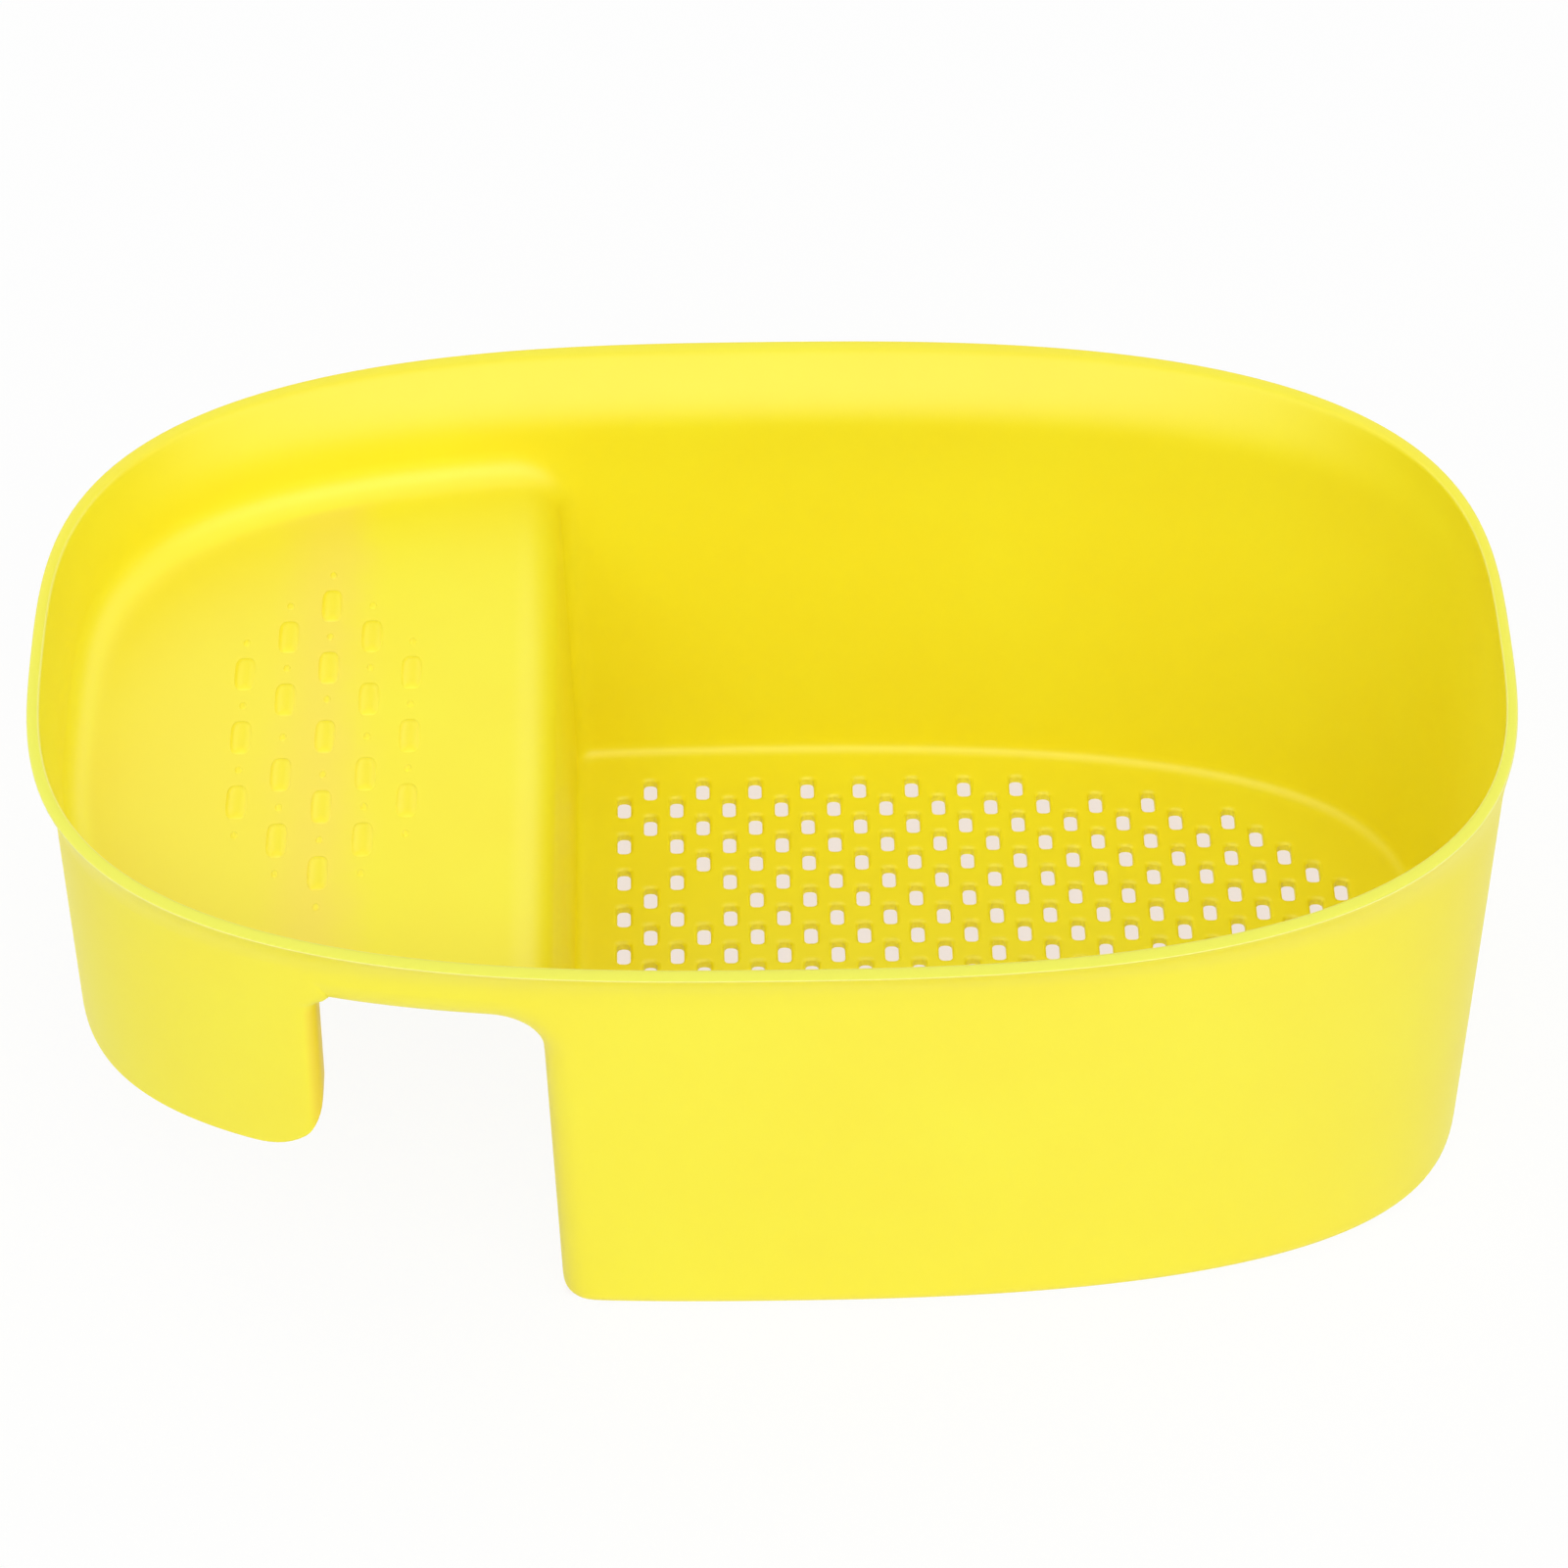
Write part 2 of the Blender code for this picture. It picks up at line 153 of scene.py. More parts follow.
wall = {
    "thickness": 1.7,
    "flareDepth": 10.0,
    "flareSoft": 0.5,  # share of that depth, above and below it, over which the flare eases out
    "flareIn": (4.2, 1.6, 10.9),  # at the shelf's end, the basket's end and each side
    "draftIn": (3.9, 4.8, 2.9),
    "rimPowers": (2.7, 3.0),
    "footPowers": (2.7, 3.4),
    "basePowers": (2.45, 4.1),
}


def section(depth, inset):
    soft = wall["flareSoft"]
    flare = depth / wall["flareDepth"]
    eased = min(max(flare - 1 + soft, 0.0), 2 * soft)
    flare = min(flare, 1 + soft) - eased ** 2 / (4 * soft)
    draft = max(depth - wall["flareDepth"], 0.0) / (height - wall["flareDepth"])
    sizes = []
    for size, flareIn, draftIn in zip(
        (halfLength, halfLength, halfWidth), wall["flareIn"], wall["draftIn"]
    ):
        # The wall is as thick all the way up, so measured level it is wider where it slopes
        slope = flareIn / wall["flareDepth"] * (1 - eased / (2 * soft))
        level = inset * math.sqrt(1 + slope ** 2)
        sizes.append(size - flare * flareIn - draft * draftIn - level)
    top = [between(a, b, flare) for a, b in zip(wall["rimPowers"], wall["footPowers"])]
    powers = [between(a, b, draft) for a, b in zip(top, wall["basePowers"])]
    return sizes + powers


def wallPoint(turn, depth, inset):
    shelfEnd, basketEnd, side, n, m = section(depth, inset)
    c, s = math.cos(turn), math.sin(turn)
    half = basketEnd if c >= 0 else shelfEnd
    return math.copysign(half * abs(c) ** (2 / n), c), math.copysign(side * abs(s) ** (2 / m), s)


def wallNormal(x, y, depth, inset):
    shelfEnd, basketEnd, side, n, m = section(depth, inset)
    half = basketEnd if x >= 0 else shelfEnd
    normal = Vector((
        math.copysign(n / half * abs(x / half) ** (n - 1), x),
        math.copysign(m / side * abs(y / side) ** (m - 1), y),
    ))
    return normal.normalized()


def wallTurn(x, depth, inset):  # the turn, in the +Y half, at which the wall passes x
    shelfEnd, basketEnd, side, n, m = section(depth, inset)
    half = basketEnd if x >= 0 else shelfEnd
    turn = math.acos(min(abs(x / half), 1.0) ** (n / 2))
    return turn if x >= 0 else math.pi - turn


def wallY(x, depth, inset):
    return wallPoint(wallTurn(x, depth, inset), depth, inset)[1]


def evenShares(start, end, count):
    # Shares of the turn from start to end that stand evenly along the rim
    steps = 1500
    points = [Vector(wallPoint(between(start, end, i / steps), 0, 0)) for i in range(steps + 1)]
    lengths = [0.0]
    for a, b in zip(points, points[1:]):
        lengths.append(lengths[-1] + (b - a).length)
    shares, i = [], 0
    for k in range(count + 1):
        target = lengths[-1] * k / count
        while i < steps and lengths[i + 1] < target:
            i += 1
        span = lengths[min(i + 1, steps)] - lengths[i]
        shares.append(min((i + (target - lengths[i]) / span) / steps if span else 1.0, 1.0))
    return shares[:-1] + [1.0]


# The moulding's body: an inner and an outer sheet that meet over the rim

body = {
    "bendReach": 19.0,  # from the bend's centre to where its fan of rows ends on the wall
    "bendRows": 8,
    "shelfHold": 2.5,  # flat kept beside each rounding
    "shelfColumns": 44,
    "basketColumns": 88,
    "acrossColumns": 10,
    "filletRows": 4,
    "stepDraft": 0.03,
    "endDrift": 0.06,
    "endShift": 1.6,
    "wallShares": (0, 0.1, 0.3, 0.5, 0.7, 0.88, 1),  # rows between the bend's end and the floor
    "wallHold": 2.0,  # straight wall kept above the floor's rounding
    "floorHold": 1.5,  # flat kept round the floor
    "rimOuterRound": 0.5,
    "rimInnerRound": 0.45,
    "rimRowsOutside": (16, 13.6, 11.4, 9.2, 7.0, 4.8, 2.5, 1.1),
    "rimRowsInside": (7.0, 9.2, 11.4, 13.2, 15),
    "rimBead": 0.6,  # by how much the wall thickens inwards, up to the rim
    "beadRows": ((1.1, 1.0), (2.5, 0.75), (4.8, 0.25)),  # (depth, share of the bead)
    "level": 1,
    "smoothAngle": 30,
    "flatWeight": 100,  # how far a large face's shading outweighs that of the roundings beside it
}
innerSheet = {
    "inset": wall["thickness"],
    "bendX": -54.3,
    "bendDepth": 34.0,
    "bendRadius": 10.0,
    "edgeFillet": 6.0,
    "cornerFillet": 3.9,
    "floorDepth": height - 2.0,
    "floorFillet": 2.6,
}
outerSheet = {
    "inset": 0.0,
    "bendX": -55.0,
    "bendDepth": 35.0,
    "bendRadius": 9.0,
    "edgeFillet": 8.5,
    "cornerFillet": 5.6,
    "floorDepth": height,
    "floorFillet": 3.3,
}

shelfStart = wallTurn(innerSheet["bendX"] - body["shelfHold"], 0, 0)
basketStart = wallTurn(innerSheet["bendX"] + body["bendReach"], 0, 0)
shelfShares = evenShares(shelfStart, 2 * math.pi - shelfStart, body["shelfColumns"])
basketShares = evenShares(basketStart, -basketStart, body["basketColumns"])


def shelfTurn(sheet, share, depth, inset):
    start = wallTurn(sheet["bendX"] - body["shelfHold"], depth, inset)
    return between(start, 2 * math.pi - start, share)


def ringEnd(sheet, depth, extra=0.0):
    # X at which the step's rows give way to the basket's, clear of the corner between them
    below = max(depth - sheet["bendDepth"], 0.0)
    return sheet["bendX"] + body["bendReach"] + body["endDrift"] * below + body["endShift"] * extra


def basketTurn(sheet, share, depth, inset, extra=0.0):
    start = wallTurn(ringEnd(sheet, depth, extra), depth, inset)
    return between(start, -start, share)


def filletStops(fillet):
    # (distance along the wall from the flat, distance in from the wall) through a rounding
    turns = [math.pi / 2 * i / body["filletRows"] for i in range(body["filletRows"] + 1)]
    return [(fillet * (1 - math.sin(t)), fillet * (1 - math.cos(t))) for t in turns]


def edgeStops(reach, radius, fillet):
    # The rows from the fan's end on the wall, through the rounding, to the flat
    stops = [(reach, 0.0), ((reach + radius + fillet) / 2, 0.0)]
    stops += [(radius + rise, inset) for rise, inset in filletStops(fillet)]
    return stops + [(radius, fillet + body["shelfHold"])]


edgeRows = len(edgeStops(1, 1, 1)) - 1
acrossTotal = 2 * edgeRows + body["acrossColumns"]


def acrossPoint(sheet, column, stops, spot, extra=0.0):
    # A row from wall to wall. spot(distance) gives x and depth at a distance from the row's centre
    mirrored = column > acrossTotal / 2
    side = -1 if mirrored else 1
    column = acrossTotal - column if mirrored else column
    reach, inset = stops[min(column, edgeRows)]
    x, depth = spot(reach)
    y = wallY(x, depth, sheet["inset"] + inset + extra)
    if column > edgeRows:
        y *= 1 - 2 * (column - edgeRows) / body["acrossColumns"]
    return x, side * y, height - depth


def bendPoint(sheet, column, row):
    # Row 0 stands on the shelf, and the others fan out round the bend's centre
    angle = math.pi / 2 * max(row - 1, 0) / body["bendRows"]
    shift = -body["shelfHold"] if row == 0 else 0.0
    reach = body["bendReach"] / max(math.cos(angle), math.sin(angle))
    fillet = between(sheet["edgeFillet"], sheet["cornerFillet"], angle / (math.pi / 2))
    stops = edgeStops(reach, sheet["bendRadius"], fillet)

    def spot(distance):
        return (
            sheet["bendX"] + shift + distance * math.sin(angle),
            sheet["bendDepth"] - distance * math.cos(angle),
        )

    return acrossPoint(sheet, column, stops, spot)


def shelfEdgePoint(sheet, column, row):
    stops = edgeStops(body["bendReach"], sheet["bendRadius"], sheet["edgeFillet"])
    distance, inset = stops[row]
    depth = sheet["bendDepth"] - distance
    turn = shelfTurn(sheet, shelfShares[column], depth, sheet["inset"] + inset)
    x, y = wallPoint(turn, depth, sheet["inset"] + inset)
    return x, y, height - depth


def basketWallPoint(sheet, column, row):
    # The wall right of the fan, with rows where the fan's rows end
    angle = math.pi / 4 * (1 + row / (body["bendRows"] / 2))
    depth = sheet["bendDepth"] - body["bendReach"] / math.tan(angle)
    turn = basketTurn(sheet, basketShares[column], depth, sheet["inset"])
    x, y = wallPoint(turn, depth, sheet["inset"])
    return x, y, height - depth


def basketRows(sheet):
    # (depth, further inset) from the bend's end down to the floor
    top, floor, fillet = sheet["bendDepth"], sheet["floorDepth"], sheet["floorFillet"]
    hold = floor - fillet - body["wallHold"]
    rows = [(between(top, hold, share), 0.0) for share in body["wallShares"]]
    rows += [(floor - rise, inset) for rise, inset in filletStops(fillet)]
    return rows + [(floor, fillet + body["floorHold"])]


def basketPoint(sheet, column, row):
    # A ring round the deep part: across the step first, and then round the basket's end
    depth, extra = basketRows(sheet)[row]
    stepX = sheet["bendX"] + sheet["bendRadius"] + body["stepDraft"] * (depth - sheet["bendDepth"])
    if column <= acrossTotal:
        fillet = sheet["cornerFillet"] - extra / 2
        reach = ringEnd(sheet, depth, extra) - stepX - extra
        stops = edgeStops(reach, 0.0, fillet)
        column = acrossTotal - column
        return acrossPoint(
            sheet, column, stops, lambda distance: (stepX + extra + distance, depth), extra
        )
    share = basketShares[column - acrossTotal]
    inset = sheet["inset"] + extra
    x, y = wallPoint(basketTurn(sheet, share, depth, inset, extra), depth, inset)
    return x, y, height - depth


def rimStops():
    # (sheet, depth, inset) up the outside, over the rim and down the inside
    r, q, t = body["rimOuterRound"], body["rimInnerRound"], wall["thickness"]
    bead = t + body["rimBead"]
    outside = [(depth, 0.0) for depth in (*body["rimRowsOutside"], r)]
    over = [(roundMiddle * r, roundMiddle * r), (0.0, r)]
    over += [(0.0, bead - q), (roundMiddle * q, bead - roundMiddle * q)]
    inside = [(q, bead)] + [(depth, between(t, bead, share)) for depth, share in body["beadRows"]]
    inside += [(depth, t) for depth in body["rimRowsInside"]]
    half = len(outside) + 2
    stops = outside + over + inside
    return [(outerSheet if i < half else innerSheet, d, s) for i, (d, s) in enumerate(stops)]


def rimPoint(column, row):
    sheet, depth, inset = rimStops()[row]
    fan = body["bendRows"] // 2 + 1
    shelf, basket = body["shelfColumns"], body["basketColumns"]
    column %= shelf + basket + 2 * fan
    if column <= shelf:
        x, y = wallPoint(shelfTurn(sheet, shelfShares[column], depth, inset), depth, inset)
    elif shelf + fan <= column <= shelf + fan + basket:
        share = basketShares[basket - (column - shelf - fan)]
        x, y = wallPoint(basketTurn(sheet, share, depth, inset), depth, inset)
    else:
        front = column < shelf + fan
        step = column - shelf if front else 2 * fan + shelf + basket - column
        angle = math.pi / 2 * (step - 1) / body["bendRows"]
        x = sheet["bendX"] + body["bendReach"] * math.tan(angle)
        y = wallY(x, depth, inset) * (-1 if front else 1)
    return x, y, height - depth


def makeBody():
    parts = []
    for label, sheet in (("inner", innerSheet), ("outer", outerSheet)):
        grids = (
            ("Bend", acrossTotal, body["bendRows"] + 1, bendPoint),
            ("ShelfEdge", body["shelfColumns"], edgeRows, shelfEdgePoint),
            ("BasketWall", body["basketColumns"], body["bendRows"] // 2, basketWallPoint),
            ("Basket", acrossTotal + body["basketColumns"], len(basketRows(sheet)) - 1, basketPoint),
        )
        for name, columns, rows, place in grids:
            parts.append(layGrid(
                label + name, columns, rows,
                lambda column, row, place=place, sheet=sheet: place(sheet, column, row),
            ))
    around = body["shelfColumns"] + body["basketColumns"] + body["bendRows"] + 2
    parts.append(layGrid("rim", around, len(rimStops()) - 1, rimPoint))
    moulding = joinAll("drainBasketMoulding", parts)
    mergeDoubles(moulding)
    faceOut(moulding)
    applyModifier(moulding, "SUBSURF", levels=body["level"], render_levels=body["level"])
    fillHoles(moulding)
    faceOut(moulding)
    return moulding


moulding = makeBody()
print("body:", len(moulding.data.polygons), "faces")


# The saddle leg: an open skirt under the shelf's end, with its edges curled in to short lips

leg = {
    "edgeX": -90.4,
    "curl": 3.0,  # radius with which each edge turns in
    "lip": 5.0,
    "bottom": 67.0,  # depth of its lower edge
    "cornerWide": 14.0,
    "cornerTall": 14.0,
    "rootWide": 3.6,  # the small curve from the leg's edge into the shelf's underside
    "rootTall": 1.3,
    "rootDepth": 23.3,  # where that curve starts
    # Depth at which each column starts, inside the wall or the shelf's plate, in from the lip
    "tops": (25.0, 24.5, 22.9, 21.0, 19.0, 16.5, 12.0, 10.0),
    "clear": 27.5,  # depth from which all columns are clear of the shelf
    "tuck": 0.85,  # how far the inner face follows the outer one's sinking at the root
    "proud": 0.015,  # keeps its face just clear of the wall's, so the two join without a seam
    "edgeRound": 0.6,
    "lipColumns": 2,
    "curlColumns": 4,
    "columns": 60,
    "fallRows": 5,
    "halvings": 24,  # tries in finding where the curl leaves the wall
}
# (share of the way from the top to where the leg is clear of the shelf, distance in from its face)
legRoot = (
    (0.0, 0.6), (0.08, 0.25), (0.2, 0.05), (0.34, 0.01), (0.5, 0.0), (0.66, 0.0), (0.76, 0.0),
    (0.81, 0.0), (0.86, 0.0), (0.92, 0.0), (1.0, 0.0),
)


def legEdge(depth):
    short = 1 - min(max((depth - leg["rootDepth"]) / leg["rootTall"], 0.0), 1.0)
    return leg["edgeX"] + leg["rootWide"] * (1 - math.sqrt(1 - short * short))


def legCurl(depth):
    # The turn at which the curl leaves the wall, the wall's normal there, and the curl's centre
    target = legEdge(depth) - leg["curl"]
    low, high = math.pi, math.pi / 2
    for _ in range(leg["halvings"]):
        turn = (low + high) / 2
        x, y = wallPoint(turn, depth, -leg["proud"])
        normal = wallNormal(x, y, depth, -leg["proud"])
        centre = Vector((x, y)) - leg["curl"] * normal
        low, high = (turn, high) if centre.x < target else (low, turn)
    return turn, normal, centre


def legPlan(column, depth, across):
    curlEnd = leg["lipColumns"] + leg["curlColumns"]
    turn, normal, centre = legCurl(depth)
    if column >= curlEnd:
        here = between(turn, 2 * math.pi - turn, (column - curlEnd) / leg["columns"])
        x, y = wallPoint(here, depth, -leg["proud"])
        return Vector((x, y)) - across * wallNormal(x, y, depth, -leg["proud"])
    if column >= leg["lipColumns"]:
        share = (column - leg["lipColumns"]) / leg["curlColumns"]
        angle = math.atan2(normal.y, normal.x) * share
        return centre + (leg["curl"] - across) * Vector((math.cos(angle), math.sin(angle)))
    back = leg["lip"] * (1 - column / leg["lipColumns"])
    return Vector((legEdge(depth) - across, centre.y - back))


def legBottom(column):
    start = leg["edgeX"] - leg["cornerWide"]
    x = legPlan(column, leg["bottom"] - leg["cornerTall"], 0.0).x
    share = min(max((x - start) / leg["cornerWide"], 0.0), 1.0)
    return leg["bottom"] - leg["cornerTall"] * (1 - math.sqrt(1 - share * share))


def legRows(column):
    # (depth, distance in from the outer face) down the outside, under the edge and up the inside
    top = leg["tops"][min(column, len(leg["tops"]) - 1)]
    root = [(between(top, leg["clear"], share), across) for share, across in legRoot]
    bottom, r, t = legBottom(column), leg["edgeRound"], wall["thickness"]
    under, count, middle = root[-1][0], leg["fallRows"], roundMiddle * r
    fall = [between(under, bottom - 2 * r, (row + 1) / count) for row in range(count)]
    rows = root + [(depth, 0.0) for depth in fall]
    rows += [(bottom - r, 0.0), (bottom - middle, middle), (bottom, r), (bottom, t - r)]
    rows += [(bottom - middle, t - middle), (bottom - r, t)]
    rows += [(depth, t) for depth in reversed(fall)]
    inside = [(depth, t - across * leg["tuck"]) for depth, across in reversed(root)]
    return rows + inside + rows[:1]


def makeLeg():
    columns = leg["columns"] + 2 * (leg["lipColumns"] + leg["curlColumns"])

    def place(column, row):
        side = 1 if column <= columns / 2 else -1
        half = min(column, columns - column)
        depth, across = legRows(half)[row]
        x, y = legPlan(half, depth, across)
        return x, side * y, height - depth

    obj = layGrid("saddleLeg", columns, len(legRows(0)) - 1, place)
    mergeDoubles(obj)
    applyModifier(obj, "SUBSURF", levels=1, render_levels=1)
    fillHoles(obj)
    faceOut(obj)
    return obj


def combine(target, tool, operation, solver="EXACT"):
    applyModifier(target, "BOOLEAN", operation=operation, solver=solver, object=tool)
    bpy.data.objects.remove(tool)


saddleLeg = makeLeg()
combine(moulding, saddleLeg, "UNION")
print("leg joined:", len(moulding.data.polygons), "faces")


# Raised bars and dots on the shelf, which alternate along each column

pips = {
    "centreX": -91.45,
    "columnPitch": 8.62,
    "rowPitch": 9.78,
    "middleGap": 1.7,
    "rows": (5, 4, 3),  # rows on each side of the middle, by column out from the centre
    "barSize": (4.2, 10.0, 0.7),
    "dotSize": (1.5, 2.2, 0.32),
    "barSides": 24,
    "dotSides": 12,
    "barPower": 3.4,  # of the superellipse that each is in plan
    "dotPower": 2.0,
    "foot": 0.8,  # sunk into the shelf
}
# (share of the height, share of the half-width taken off) up a pip's side
pipProfile = (
    (0.0, -0.03), (0.1, 0.0), (0.3, 0.09), (0.52, 0.2), (0.72, 0.34), (0.88, 0.52), (0.97, 0.72),
    (1.0, 0.92),
)
shelfTop = height - (innerSheet["bendDepth"] - innerSheet["bendRadius"])


def makePip(name, size, sides, power):
    wide, long, tall = size
    stops = [(-pips["foot"], pipProfile[0][1])] + [(tall * z, share) for z, share in pipProfile]

    def place(column, row):
        z, share = stops[row]
        taken = share * wide / 2
        angle = 2 * math.pi * column / sides
        c, s = math.cos(angle), math.sin(angle)
        return (
            math.copysign((wide / 2 - taken) * abs(c) ** (2 / power), c),
            math.copysign((long / 2 - taken) * abs(s) ** (2 / power), s),
            z,
        )

    obj = layGrid(name, sides, len(stops) - 1, place)
    mergeDoubles(obj)
    fillHoles(obj)
    faceOut(obj)
    return obj


def copyTo(original, x, y, z):
    copy = original.copy()
    copy.data = original.data.copy()
    copy.data.transform(Matrix.Translation(Vector((x, y, z)) * mm))
    bpy.context.collection.objects.link(copy)
    return copy


def makePips():
    bar = makePip("bar", pips["barSize"], pips["barSides"], pips["barPower"])
    dot = makePip("dot", pips["dotSize"], pips["dotSides"], pips["dotPower"])
    copies = []
    last = len(pips["rows"]) - 1
    for column in range(-last, last + 1):
        rows = pips["rows"][abs(column)]
        gap = 0.0 if abs(column) == last else pips["middleGap"]
        x = pips["centreX"] + column * pips["columnPitch"]
        for row in range(-rows, rows + 1):
            y = row * pips["rowPitch"] + math.copysign(gap, row) * (row != 0)
            original = bar if (row + column) % 2 == 0 else dot
            copies.append(copyTo(original, x, y, shelfTop))
    bpy.data.objects.remove(bar)
    bpy.data.objects.remove(dot)
    return joinAll("shelfPips", copies)


combine(moulding, makePips(), "UNION")
print("pips joined:", len(moulding.data.polygons), "faces")


# Drain holes: rounded slots with a softened top edge, on a staggered grid

holes = {
    "pitch": 11.555,
    "firstX": -31.8,
    "shiftY": 0.8,  # the grid stands a little nearer the back
    "halfWide": 1.42,
    "halfLong": 3.05,
    "corner": 1.1,
    "cornerSteps": 3,
    "fieldHalf": (132.0, 71.0),  # the field's border: a superellipse about the origin
    "fieldPowers": (2.9, 3.8),
    "blanks": ((1, 8), (3, 6)),  # (column, row) that the floor leaves out, near the step
}
# (height above the floor's underside, how much wider than the hole) down through the floor
holeProfile = ((2.05, 1.2), (1.93, 0.6), (1.82, 0.34), (1.5, 0.08), (-0.3, 0.0))


def holeSpots():
    half = holes["pitch"] / 2
    fieldX, fieldY = holes["fieldHalf"]
    powerX, powerY = holes["fieldPowers"]
    rows = int(fieldY / half)
    spots = []
    for column in range(int((fieldX - holes["firstX"]) / half) + 1):
        for row in range(-rows, rows + 1):
            x, y = holes["firstX"] + column * half, row * half
            inField = abs(x / fieldX) ** powerX + abs(y / fieldY) ** powerY <= 1
            if inField and (column + row) % 2 and (column, row) not in holes["blanks"]:
                spots.append((x, y + holes["shiftY"]))
    return spots


def makeHoles():
    steps = holes["cornerSteps"]
    sides = 4 * (steps + 1)
    quarters = ((1, 1), (-1, 1), (-1, -1), (1, -1))

    def place(column, row):
        z, wider = holeProfile[row]
        quarter, step = divmod(column % sides, steps + 1)
        cornerX, cornerY = quarters[quarter]
        angle = math.pi / 2 * (quarter + step / steps)
        r = holes["corner"] + wider / 2
        x = cornerX * (holes["halfWide"] + wider - r) + r * math.cos(angle)
        y = cornerY * (holes["halfLong"] + wider - r) + r * math.sin(angle)
        return x, y, z

    hole = layGrid("hole", sides, len(holeProfile) - 1, place)
    mergeDoubles(hole)
    fillHoles(hole)
    faceOut(hole)
    copies = [copyTo(hole, x, y, 0.0) for x, y in holeSpots()]
    bpy.data.objects.remove(hole)
    return joinAll("drainHoles", copies)


combine(moulding, makeHoles(), "DIFFERENCE", "MANIFOLD")
print("holes cut:", len(holeSpots()), "holes,", len(moulding.data.polygons), "faces")
pickOnly(moulding)
bpy.ops.object.shade_smooth_by_angle(angle=math.radians(body["smoothAngle"]))
# Large flat faces keep their own shading right up to the roundings beside them
applyModifier(
    moulding, "WEIGHTED_NORMAL", mode="FACE_AREA", weight=body["flatWeight"], keep_sharp=True
)


# Materials

def hexColour(code):  # sRGB hex to the linear values that a shader takes
    channels = [int(code[i:i + 2], 16) / 255 for i in (0, 2, 4)]
    linear = [c / 12.92 if c <= 0.04045 else ((c + 0.055) / 1.055) ** 2.4 for c in channels]
    return (*linear, 1.0)


def addNode(tree, kind, inputs=None, **settings):
    # inputs holds values, or a (node, output) to link from, by the input's name or number
    node = tree.nodes.new(kind)
    for key, value in settings.items():
        setattr(node, key, value)
    for key, value in (inputs or {}).items():
        if isinstance(value, tuple) and isinstance(value[0], bpy.types.Node):
            tree.links.new(value[0].outputs[value[1]], node.inputs[key])
        else:
            node.inputs[key].default_value = value
    return node


def newTree(owner):
    owner.use_nodes = True
    owner.node_tree.nodes.clear()
    return owner.node_tree


# Lengths are in millimetres, and a pair gives where a tone is absent and where it is full
polypropylene = {
    "base": "FAEF25",
    "deep": "FAEB22",
    "driftSize": 38,  # slow drift of the pigment, from base to deep
    "driftRange": (0.35, 0.7),
    "grainSize": 0.55,
    "grainDepth": 0.012,
    "rippleSize": 9,
    "rippleDepth": 0.02,
    "roughness": 0.46,
    "roughnessSpread": 0.05,
    "ior": 1.49,
    "specular": 0.78,
    "shelfBand": "F7D266",  # a pinkish band down the middle of the shelf
    "shelfBandX": -92.3,
    "shelfBandHalfWidth": 14.0,
    "shelfBandShare": 0.34,
    "shelfBandBeyond": 0.13,  # what of the band's tone stays over the shelf's outer half
    "shelfBandAbove": (0.5, 0.1),  # heights over the tray's floor
    "shelfBandFacing": (0.2, 0.6),  # how far a face looks up
    "wanderSize": 16,
    "wanderReach": 5,
    # painted bounce light: a fuller yellow on the bars and dots
    "pipPaintedBounce": "FCEA08",
    "pipPaintedBounceShare": 0.7,
    "pipAbove": (0.05, 0.3),
    "pipReach": (21.0, 63.0),  # half-size of the field of pips along and across the object
    "thin": "EFEF48",  # the rim's upper edge, where light gathers
    "thinBelow": (0.6, 0.35),  # depths under the rim
    "thinFront": (60.0, -30.0),  # from the back to the front
    "rimEdgeHighlight": "FAF58C",  # painted highlight along each rounded edge of the rim
    "rimEdgeHighlightFacing": (0.93, 0.8),
    "legEdge": "F6D21C",  # painted shade at the leg's curled edges
    "legEdgeShadeShare": 0.6,
    "legEdgeShadeIn": (3.2, 1.0667),  # into the leg from its edge
    "legEdgeShadeBelow": (0.3, 3.0),  # depths under the tray's floor
    "legEdgeShadeOut": (4, 2),  # towards the step, past the leg's edge
}


